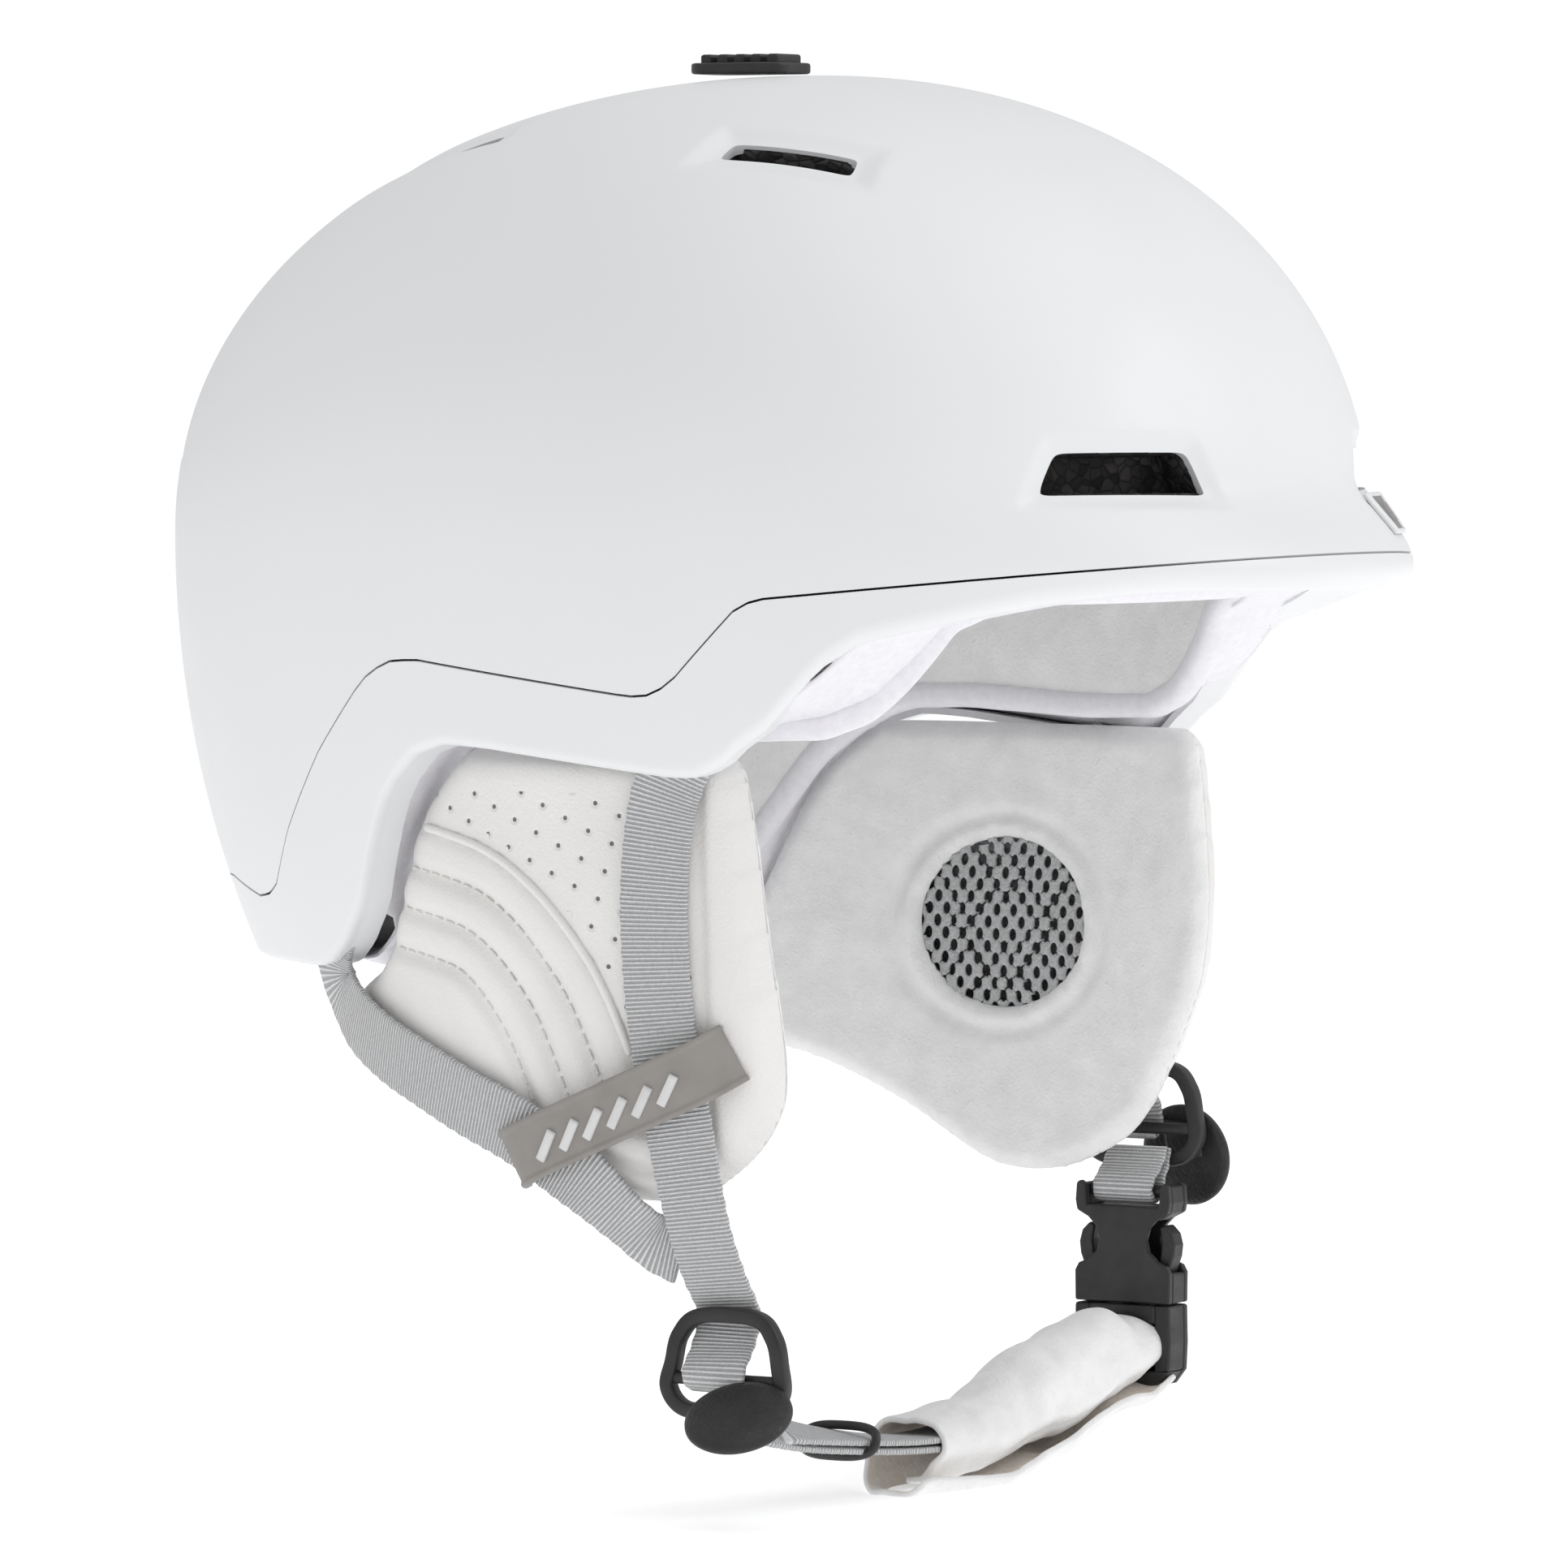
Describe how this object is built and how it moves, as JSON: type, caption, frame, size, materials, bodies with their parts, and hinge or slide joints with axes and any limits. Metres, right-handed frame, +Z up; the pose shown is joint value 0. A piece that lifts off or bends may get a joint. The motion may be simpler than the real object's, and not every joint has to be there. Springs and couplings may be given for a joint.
{
  "type": "ski helmet",
  "caption": "Hard-shell ski helmet with brim, soft ear pads, chin strap with side-release buckle, vent slider and fit dial.",
  "frame": {"origin": "middle of the head opening at brow level, where the shell is widest", "axes": "+Z up, the face looks along -Y, the wearer's right is -X"},
  "size_m": [0.2192, 0.2858, 0.3086],
  "materials": {
    "shell_outer": "matte moulded shell, icy white",
    "shell_lower": "matte moulded shell, icy white",
    "foam": "bead foam, charcoal",
    "fleece": "short-pile fleece, white",
    "badge": "satin plate",
    "black_plastic": "black moulded plastic",
    "steel": "turned pin",
    "clip_plastic": "moulded clip, pale grey",
    "leather": "soft synthetic leather, white",
    "soft_foam": "open cell foam",
    "mesh": "spacer mesh, light grey",
    "webbing": "ribbed polyester webbing, silver grey",
    "keeper_rubber": "warm grey rubber",
    "ring_rubber": "black ring"
  },
  "bodies": {
    "shell": {"outer_shell": "shell_outer", "lower_shell": "shell_lower", "foam_liner": "foam", "crown_pad": "fleece", "brow_pad": "fleece", "nape_pad": "fleece", "side_pad_left": "fleece", "side_pad_right": "fleece", "badge": "badge", "front_anchors": "black_plastic", "rear_anchors": "black_plastic", "goggle_clip_base": "black_plastic", "goggle_clip_pin": "steel", "fit_housing": "black_plastic", "fit_bracket": "black_plastic"},
    "vent_slider": {"slider_knob": "black_plastic", "slider_shutter": "black_plastic"},
    "fit_dial": {"fit_dial": "black_plastic", "fit_pinion": "black_plastic"},
    "fit_left": {"fit_rack_left": "black_plastic"},
    "fit_right": {"fit_rack_right": "black_plastic"},
    "goggle_clip": {"goggle_clip_tongue": "clip_plastic"},
    "ear_right": {"ear_cover_right": "leather", "ear_foam_right": "soft_foam", "ear_lining_right": "fleece", "ear_mesh_right": "mesh", "front_strap_right": "webbing", "rear_strap_right": "webbing", "strap_keeper_right": "keeper_rubber", "adjuster_frame_right": "black_plastic"},
    "flap_right": {"adjuster_flap_right": "black_plastic"},
    "ear_left": {"ear_cover_left": "leather", "ear_foam_left": "soft_foam", "ear_lining_left": "fleece", "ear_mesh_left": "mesh", "front_strap_left": "webbing", "rear_strap_left": "webbing", "strap_keeper_left": "keeper_rubber", "adjuster_frame_left": "black_plastic"},
    "flap_left": {"adjuster_flap_left": "black_plastic"},
    "chin_strap": {"chin_strap": "webbing", "ring_keeper": "ring_rubber", "chin_pad": "fleece", "buckle_plug": "black_plastic"},
    "buckle_socket": {"buckle_strap": "webbing", "buckle_socket": "black_plastic"}
  },
  "joints": [
    {"name": "vent_slide", "type": "slide", "parent": "shell", "child": "vent_slider", "axis": [0, -1, 0], "range_m": [0, 0.008]},
    {"name": "fit_dial_turn", "type": "hinge", "parent": "shell", "child": "fit_dial", "pos_m": [0, 0.1, -0.078], "axis": [0, -1, 0], "range_deg": [0, 60]},
    {"name": "fit_left_slide", "type": "slide", "parent": "shell", "child": "fit_left", "axis": [-1, 0, 0], "range_m": [0, 0.00524]},
    {"name": "fit_right_slide", "type": "slide", "parent": "shell", "child": "fit_right", "axis": [1, 0, 0], "range_m": [0, 0.00524]},
    {"name": "goggle_clip_swing", "type": "hinge", "parent": "shell", "child": "goggle_clip", "pos_m": [0, 0.14861, -0.03869], "axis": [1, 0, 0], "range_deg": [0, 60]},
    {"name": "ear_right_flex", "type": "hinge", "parent": "shell", "child": "ear_right", "pos_m": [-0.096, -0.035, -0.044], "axis": [0.1321, 0.9085, -0.3964], "range_deg": [0, 10]},
    {"name": "ear_left_flex", "type": "hinge", "parent": "shell", "child": "ear_left", "pos_m": [0.096, -0.035, -0.044], "axis": [0.1321, -0.9085, 0.3964], "range_deg": [0, 10]},
    {"name": "flap_right_swing", "type": "hinge", "parent": "ear_right", "child": "flap_right", "pos_m": [-0.0836, -0.034, -0.1737], "axis": [0, 1, 0], "range_deg": [0, 30]},
    {"name": "flap_left_swing", "type": "hinge", "parent": "ear_left", "child": "flap_left", "pos_m": [0.0936, -0.038, -0.1322], "axis": [0, -1, 0], "range_deg": [0, 30]},
    {"name": "chin_strap_swing", "type": "hinge", "parent": "ear_right", "child": "chin_strap", "pos_m": [-0.0795, -0.027, -0.1832], "axis": [0, 1, 0], "range_deg": [0, 70], "deforming": ["buckle_plug"]},
    {"name": "buckle_swing", "type": "hinge", "parent": "ear_left", "child": "buckle_socket", "pos_m": [0.0891, -0.03, -0.1425], "axis": [0, -1, 0], "range_deg": [0, 25]}
  ],
  "couplings": [
    {"joint": "fit_left_slide", "follows": "fit_dial_turn", "m_per_rad": 0.005},
    {"joint": "fit_right_slide", "follows": "fit_dial_turn", "m_per_rad": 0.005}
  ]
}
